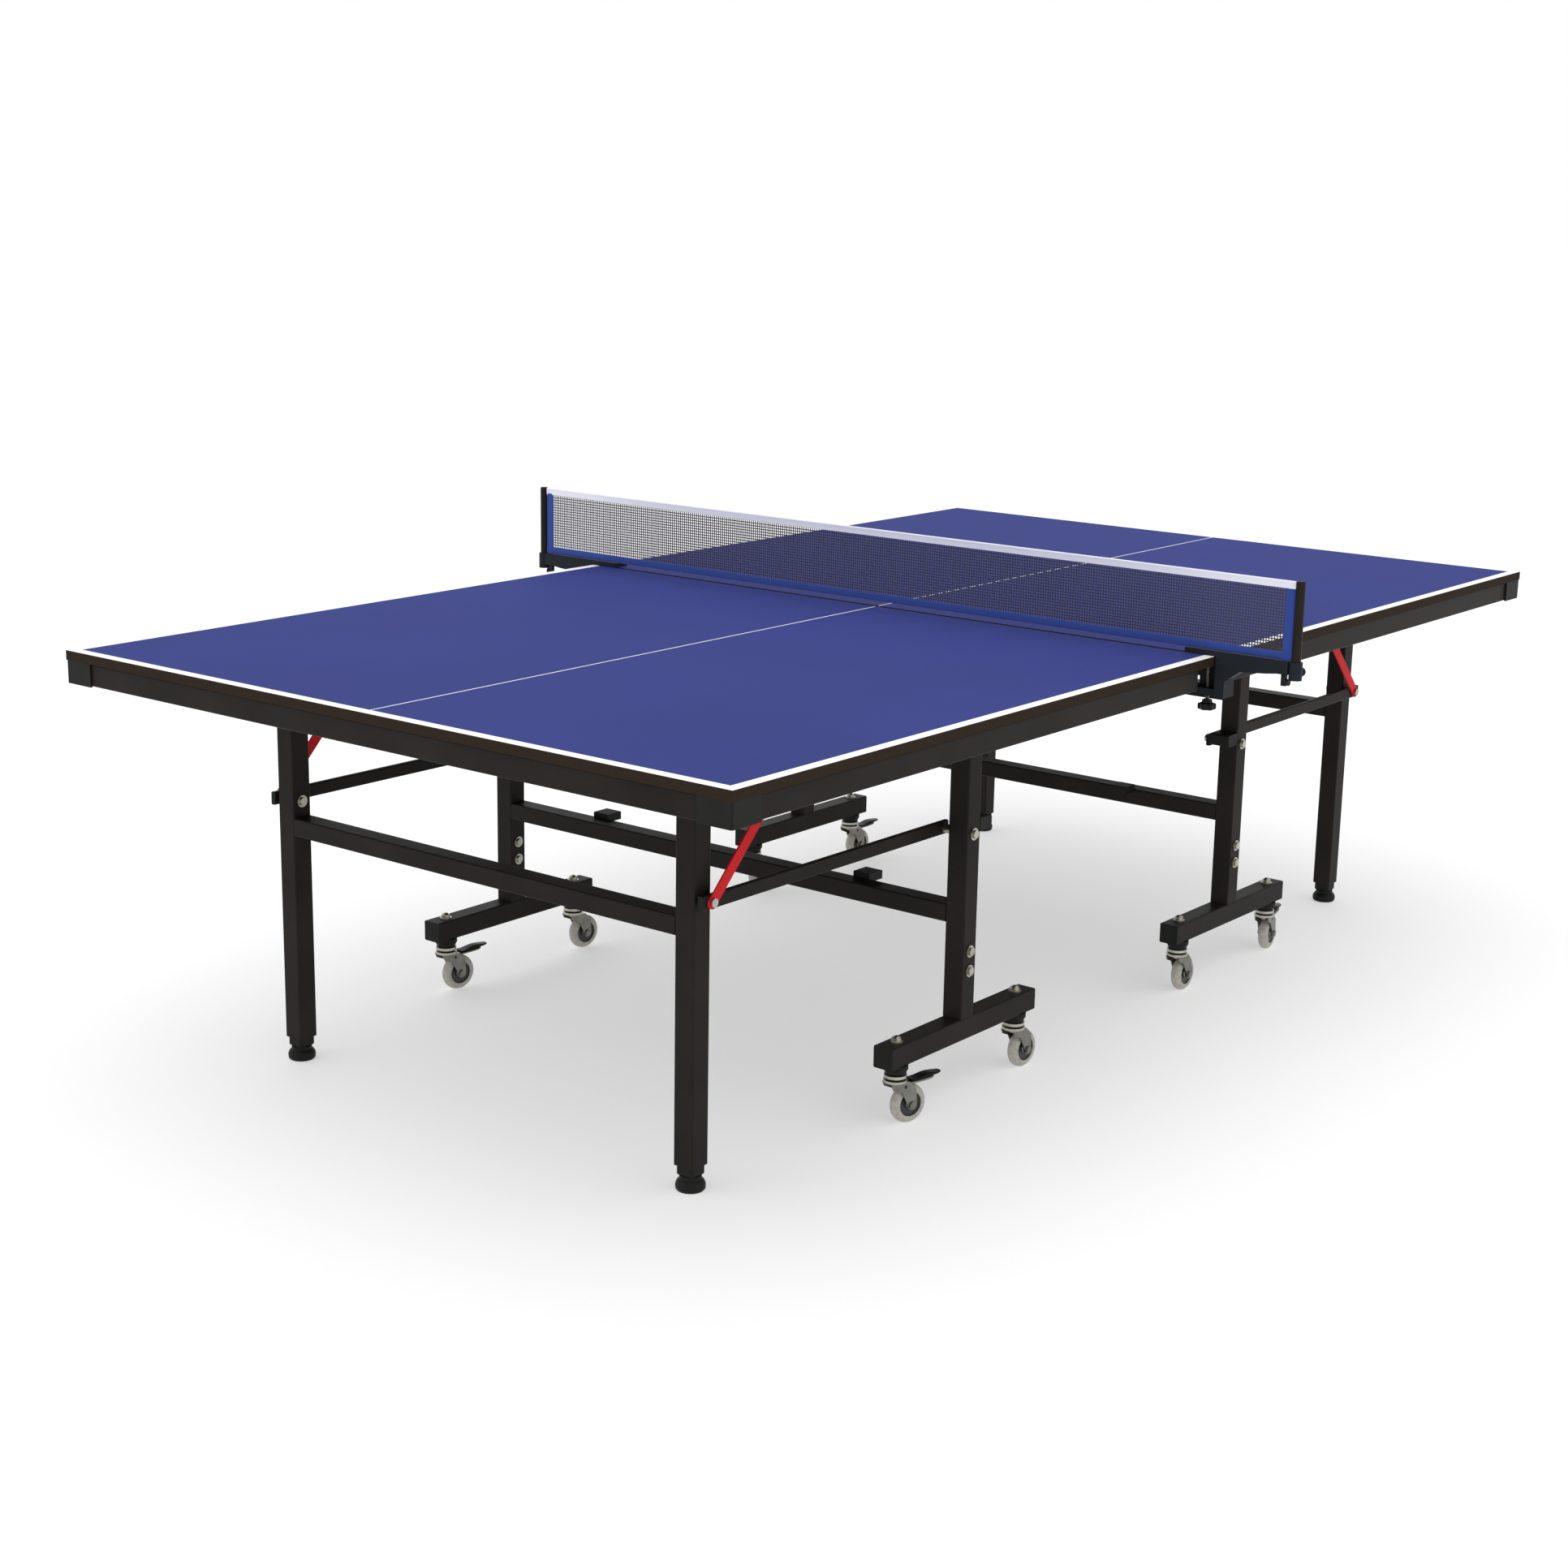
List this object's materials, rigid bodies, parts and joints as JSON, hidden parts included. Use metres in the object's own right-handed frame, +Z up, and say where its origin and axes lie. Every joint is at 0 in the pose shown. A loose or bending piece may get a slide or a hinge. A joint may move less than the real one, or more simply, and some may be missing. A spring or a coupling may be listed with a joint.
{
  "type": "ping pong table",
  "caption": "Full-size folding table-tennis table: blue boards on black wheeled frames, red locking braces and a clamp-on net.",
  "frame": {"origin": "on the floor under the middle of the table, below the net line's centre", "axes": "+X along the table towards the far half, +Y across it to the left, +Z up"},
  "size_m": [2.74, 1.862, 0.9136],
  "materials": {
    "board_blue": "matt blue playing coat with white lines",
    "frame_paint": "black powder coat",
    "clamp_paint": "blue-black powder coat",
    "red_paint": "red powder coat",
    "black_plastic": "moulded, satin",
    "zinc": "zinc plated",
    "steel": "pressed and plated",
    "tyre_grey": "grey tread on a dark centre",
    "net_fabric": "knotted mesh with bound edges"
  },
  "bodies": {
    "near_carriage": {"near_wheel_frame": "frame_paint", "near_wheel_frame_bolts": "zinc", "near_wheel_frame_mouldings": "black_plastic"},
    "near_top": {"near_board": "board_blue", "near_top_frame": "frame_paint", "near_corner_guards": "black_plastic", "near_top_brackets": "frame_paint"},
    "near_legs": {"near_leg_frame": "frame_paint", "near_leg_inserts": "black_plastic", "near_leg_bolts": "zinc"},
    "near_strut_pair": {"near_struts": "frame_paint", "near_strut_caps": "black_plastic"},
    "near_right_brace": {"near_brace_right": "red_paint"},
    "near_right_foot": {"near_foot_right": "black_plastic"},
    "near_right_inner_swivel": {"near_right_inner_fork": "steel"},
    "near_right_inner_roller": {"near_right_inner_wheel": "tyre_grey"},
    "near_right_outer_swivel": {"near_right_outer_fork": "steel"},
    "near_right_outer_roller": {"near_right_outer_wheel": "tyre_grey"},
    "near_right_outer_brake": {"near_right_outer_brake_pedal": "steel"},
    "near_left_brace": {"near_brace_left": "red_paint"},
    "near_left_foot": {"near_foot_left": "black_plastic"},
    "near_left_inner_swivel": {"near_left_inner_fork": "steel"},
    "near_left_inner_roller": {"near_left_inner_wheel": "tyre_grey"},
    "near_left_outer_swivel": {"near_left_outer_fork": "steel"},
    "near_left_outer_roller": {"near_left_outer_wheel": "tyre_grey"},
    "near_left_outer_brake": {"near_left_outer_brake_pedal": "steel"},
    "far_carriage": {"far_wheel_frame": "frame_paint", "far_wheel_frame_bolts": "zinc", "far_wheel_frame_mouldings": "black_plastic"},
    "far_top": {"far_board": "board_blue", "far_top_frame": "frame_paint", "far_corner_guards": "black_plastic", "far_top_brackets": "frame_paint", "net_clamp_right": "clamp_paint", "net_clamp_left": "clamp_paint"},
    "far_legs": {"far_leg_frame": "frame_paint", "far_leg_inserts": "black_plastic", "far_leg_bolts": "zinc"},
    "far_strut_pair": {"far_struts": "frame_paint", "far_strut_caps": "black_plastic"},
    "far_right_brace": {"far_brace_right": "red_paint"},
    "far_right_foot": {"far_foot_right": "black_plastic"},
    "far_right_inner_swivel": {"far_right_inner_fork": "steel"},
    "far_right_inner_roller": {"far_right_inner_wheel": "tyre_grey"},
    "far_right_outer_swivel": {"far_right_outer_fork": "steel"},
    "far_right_outer_roller": {"far_right_outer_wheel": "tyre_grey"},
    "far_right_outer_brake": {"far_right_outer_brake_pedal": "steel"},
    "far_left_brace": {"far_brace_left": "red_paint"},
    "far_left_foot": {"far_foot_left": "black_plastic"},
    "far_left_inner_swivel": {"far_left_inner_fork": "steel"},
    "far_left_inner_roller": {"far_left_inner_wheel": "tyre_grey"},
    "far_left_outer_swivel": {"far_left_outer_fork": "steel"},
    "far_left_outer_roller": {"far_left_outer_wheel": "tyre_grey"},
    "far_left_outer_brake": {"far_left_outer_brake_pedal": "steel"},
    "net_set": {"net_posts": "frame_paint", "net": "net_fabric"},
    "right_clamp_screw": {"clamp_screw_right": "black_plastic"},
    "right_post_knob": {"post_knob_right": "black_plastic"},
    "left_clamp_screw": {"clamp_screw_left": "black_plastic"},
    "left_post_knob": {"post_knob_left": "black_plastic"}
  },
  "joints": [
    {"name": "near_fold", "type": "hinge", "parent": "near_carriage", "child": "near_top", "pos_m": [-0.479, 0, 0.684], "axis": [0, 1, 0], "range_deg": [0, 90]},
    {"name": "near_leg_swing", "type": "hinge", "parent": "near_top", "child": "near_legs", "pos_m": [-1.11, 0, 0.687], "axis": [0, -1, 0], "range_deg": [0, 90]},
    {"name": "near_strut_swing", "type": "hinge", "parent": "near_carriage", "child": "near_strut_pair", "pos_m": [-0.479, 0, 0.487], "axis": [0, 1, 0], "range_deg": [0, 90]},
    {"name": "near_right_brace_swing", "type": "hinge", "parent": "near_legs", "child": "near_right_brace", "pos_m": [-1.11, -0.5105, 0.49], "axis": [0, 1, 0], "range_deg": [0, 136.15]},
    {"name": "near_right_foot_turn", "type": "hinge", "parent": "near_legs", "child": "near_right_foot", "pos_m": [-1.11, -0.47, 0.02], "axis": [0, 0, 1], "continuous": true},
    {"name": "near_right_inner_swivel_turn", "type": "hinge", "parent": "near_carriage", "child": "near_right_inner_swivel", "pos_m": [-0.297, -0.5515, 0.09], "axis": [0, 0, 1], "continuous": true},
    {"name": "near_right_inner_wheel_spin", "type": "hinge", "parent": "near_right_inner_swivel", "child": "near_right_inner_roller", "pos_m": [-0.27007, -0.55338, 0.035], "axis": [0.0698, 0.9976, 0], "continuous": true},
    {"name": "near_right_outer_swivel_turn", "type": "hinge", "parent": "near_carriage", "child": "near_right_outer_swivel", "pos_m": [-0.664, -0.5515, 0.09], "axis": [0, 0, 1], "continuous": true},
    {"name": "near_right_outer_wheel_spin", "type": "hinge", "parent": "near_right_outer_swivel", "child": "near_right_outer_roller", "pos_m": [-0.63832, -0.55984, 0.035], "axis": [0.309, 0.9511, 0], "continuous": true},
    {"name": "near_right_outer_brake_press", "type": "hinge", "parent": "near_right_outer_swivel", "child": "near_right_outer_brake", "pos_m": [-0.65259, -0.55521, 0.071], "axis": [0.309, 0.9511, 0], "range_deg": [0, 5], "stiffness_Nm_per_rad": 0.6, "springref_deg": -11.46},
    {"name": "near_left_brace_swing", "type": "hinge", "parent": "near_legs", "child": "near_left_brace", "pos_m": [-1.11, 0.5105, 0.49], "axis": [0, 1, 0], "range_deg": [0, 136.15]},
    {"name": "near_left_foot_turn", "type": "hinge", "parent": "near_legs", "child": "near_left_foot", "pos_m": [-1.11, 0.47, 0.02], "axis": [0, 0, 1], "continuous": true},
    {"name": "near_left_inner_swivel_turn", "type": "hinge", "parent": "near_carriage", "child": "near_left_inner_swivel", "pos_m": [-0.297, 0.5515, 0.09], "axis": [0, 0, 1], "continuous": true},
    {"name": "near_left_inner_wheel_spin", "type": "hinge", "parent": "near_left_inner_swivel", "child": "near_left_inner_roller", "pos_m": [-0.27026, 0.54774, 0.035], "axis": [0.1392, 0.9903, 0], "continuous": true},
    {"name": "near_left_outer_swivel_turn", "type": "hinge", "parent": "near_carriage", "child": "near_left_outer_swivel", "pos_m": [-0.664, 0.5515, 0.09], "axis": [0, 0, 1], "continuous": true},
    {"name": "near_left_outer_wheel_spin", "type": "hinge", "parent": "near_left_outer_swivel", "child": "near_left_outer_roller", "pos_m": [-0.63741, 0.54681, 0.035], "axis": [0.1736, 0.9848, 0], "continuous": true},
    {"name": "near_left_outer_brake_press", "type": "hinge", "parent": "near_left_outer_swivel", "child": "near_left_outer_brake", "pos_m": [-0.65218, 0.54942, 0.071], "axis": [0.1736, 0.9848, 0], "range_deg": [0, 5], "stiffness_Nm_per_rad": 0.6, "springref_deg": -11.46},
    {"name": "far_fold", "type": "hinge", "parent": "far_carriage", "child": "far_top", "pos_m": [0.479, 0, 0.684], "axis": [0, -1, 0], "range_deg": [0, 90]},
    {"name": "far_leg_swing", "type": "hinge", "parent": "far_top", "child": "far_legs", "pos_m": [1.11, 0, 0.687], "axis": [0, 1, 0], "range_deg": [0, 90]},
    {"name": "far_strut_swing", "type": "hinge", "parent": "far_carriage", "child": "far_strut_pair", "pos_m": [0.479, 0, 0.487], "axis": [0, -1, 0], "range_deg": [0, 90]},
    {"name": "far_right_brace_swing", "type": "hinge", "parent": "far_legs", "child": "far_right_brace", "pos_m": [1.11, -0.5105, 0.49], "axis": [0, -1, 0], "range_deg": [0, 136.15]},
    {"name": "far_right_foot_turn", "type": "hinge", "parent": "far_legs", "child": "far_right_foot", "pos_m": [1.11, -0.47, 0.02], "axis": [0, 0, 1], "continuous": true},
    {"name": "far_right_inner_swivel_turn", "type": "hinge", "parent": "far_carriage", "child": "far_right_inner_swivel", "pos_m": [0.297, -0.5515, 0.09], "axis": [0, 0, 1], "continuous": true},
    {"name": "far_right_inner_wheel_spin", "type": "hinge", "parent": "far_right_inner_swivel", "child": "far_right_inner_roller", "pos_m": [0.324, -0.55103, 0.035], "axis": [-0.0175, 0.9998, 0], "continuous": true},
    {"name": "far_right_outer_swivel_turn", "type": "hinge", "parent": "far_carriage", "child": "far_right_outer_swivel", "pos_m": [0.664, -0.5515, 0.09], "axis": [0, 0, 1], "continuous": true},
    {"name": "far_right_outer_wheel_spin", "type": "hinge", "parent": "far_right_outer_swivel", "child": "far_right_outer_roller", "pos_m": [0.69059, -0.54681, 0.035], "axis": [-0.1736, 0.9848, 0], "continuous": true},
    {"name": "far_right_outer_brake_press", "type": "hinge", "parent": "far_right_outer_swivel", "child": "far_right_outer_brake", "pos_m": [0.67582, -0.54942, 0.071], "axis": [-0.1736, 0.9848, 0], "range_deg": [0, 5], "stiffness_Nm_per_rad": 0.6, "springref_deg": -11.46},
    {"name": "far_left_brace_swing", "type": "hinge", "parent": "far_legs", "child": "far_left_brace", "pos_m": [1.11, 0.5105, 0.49], "axis": [0, -1, 0], "range_deg": [0, 136.15]},
    {"name": "far_left_foot_turn", "type": "hinge", "parent": "far_legs", "child": "far_left_foot", "pos_m": [1.11, 0.47, 0.02], "axis": [0, 0, 1], "continuous": true},
    {"name": "far_left_inner_swivel_turn", "type": "hinge", "parent": "far_carriage", "child": "far_left_inner_swivel", "pos_m": [0.297, 0.5515, 0.09], "axis": [0, 0, 1], "continuous": true},
    {"name": "far_left_inner_wheel_spin", "type": "hinge", "parent": "far_left_inner_swivel", "child": "far_left_inner_roller", "pos_m": [0.32341, 0.54589, 0.035], "axis": [0.2079, 0.9781, 0], "continuous": true},
    {"name": "far_left_outer_swivel_turn", "type": "hinge", "parent": "far_carriage", "child": "far_left_outer_swivel", "pos_m": [0.664, 0.5515, 0.09], "axis": [0, 0, 1], "continuous": true},
    {"name": "far_left_outer_wheel_spin", "type": "hinge", "parent": "far_left_outer_swivel", "child": "far_left_outer_roller", "pos_m": [0.69085, 0.54868, 0.035], "axis": [0.1045, 0.9945, 0], "continuous": true},
    {"name": "far_left_outer_brake_press", "type": "hinge", "parent": "far_left_outer_swivel", "child": "far_left_outer_brake", "pos_m": [0.67593, 0.55025, 0.071], "axis": [0.1045, 0.9945, 0], "range_deg": [0, 5], "stiffness_Nm_per_rad": 0.6, "springref_deg": -11.46},
    {"name": "halves_roll", "type": "slide", "parent": "near_carriage", "child": "far_carriage", "axis": [1, 0, 0], "range_m": [0, 0.51]},
    {"name": "net_height", "type": "slide", "parent": "far_top", "child": "net_set", "axis": [0, 0, 1], "range_m": [0, 0.012]},
    {"name": "right_clamp_screw_turn", "type": "hinge", "parent": "far_top", "child": "right_clamp_screw", "pos_m": [0.019, -0.739, 0.665], "axis": [0, 0, 1], "continuous": true},
    {"name": "right_post_knob_turn", "type": "hinge", "parent": "far_top", "child": "right_post_knob", "pos_m": [0.022, -0.919, 0.748], "axis": [1, 0, 0], "continuous": true},
    {"name": "left_clamp_screw_turn", "type": "hinge", "parent": "far_top", "child": "left_clamp_screw", "pos_m": [0.019, 0.739, 0.665], "axis": [0, 0, 1], "continuous": true},
    {"name": "left_post_knob_turn", "type": "hinge", "parent": "far_top", "child": "left_post_knob", "pos_m": [0.022, 0.919, 0.748], "axis": [1, 0, 0], "continuous": true}
  ],
  "couplings": [
    {"joint": "near_leg_swing", "follows": "near_fold", "ratio": 1},
    {"joint": "near_strut_swing", "follows": "near_fold", "ratio": 1},
    {"joint": "near_right_brace_swing", "follows": "near_fold", "ratio": 1.5072},
    {"joint": "near_left_brace_swing", "follows": "near_fold", "ratio": 1.5072},
    {"joint": "far_leg_swing", "follows": "far_fold", "ratio": 1},
    {"joint": "far_strut_swing", "follows": "far_fold", "ratio": 1},
    {"joint": "far_right_brace_swing", "follows": "far_fold", "ratio": 1.5072},
    {"joint": "far_left_brace_swing", "follows": "far_fold", "ratio": 1.5072},
    {"joint": "halves_roll", "follows": "far_fold", "m_per_rad": 0.32}
  ]
}
